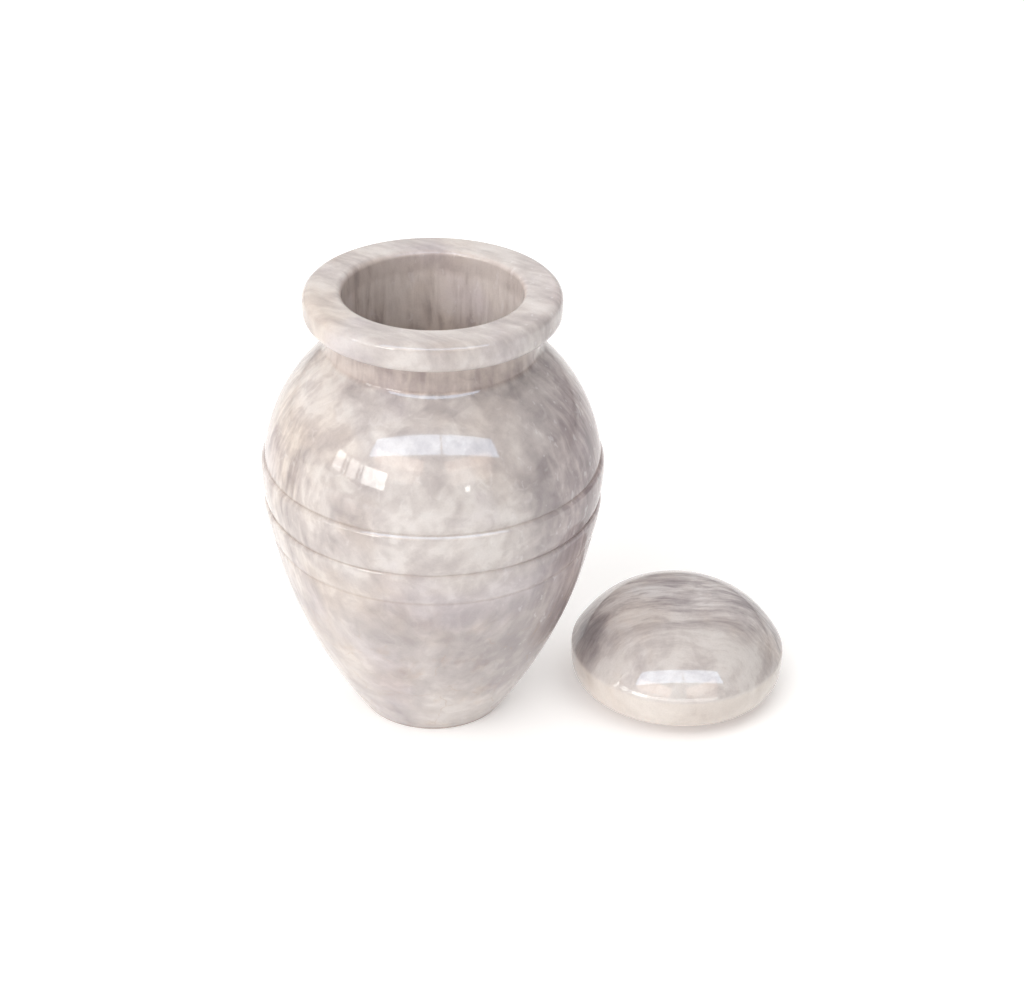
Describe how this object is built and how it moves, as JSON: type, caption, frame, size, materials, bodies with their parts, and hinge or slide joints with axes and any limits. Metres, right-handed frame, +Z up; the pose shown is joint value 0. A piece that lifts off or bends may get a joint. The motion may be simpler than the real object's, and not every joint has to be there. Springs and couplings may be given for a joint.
{
  "type": "cremation urn",
  "caption": "Marble cremation urn: a shouldered vase with a short neck, thick rolled rim and turned bands, with its domed plug lid laid beside it.",
  "frame": {"origin": "centre of the urn's foot, on its underside", "axes": "+Z up the urn's axis, out of its mouth; +X from the urn towards the lid that lies beside it; +Y away from the viewer"},
  "size_m": [0.2871, 0.1814, 0.247],
  "materials": {
    "marble_body": "polished grey-beige marble",
    "marble_lid": "polished pale marble with smoky grey streaks"
  },
  "bodies": {
    "root": {"urn_body": "marble_body", "lid": "marble_lid"}
  },
  "joints": []
}
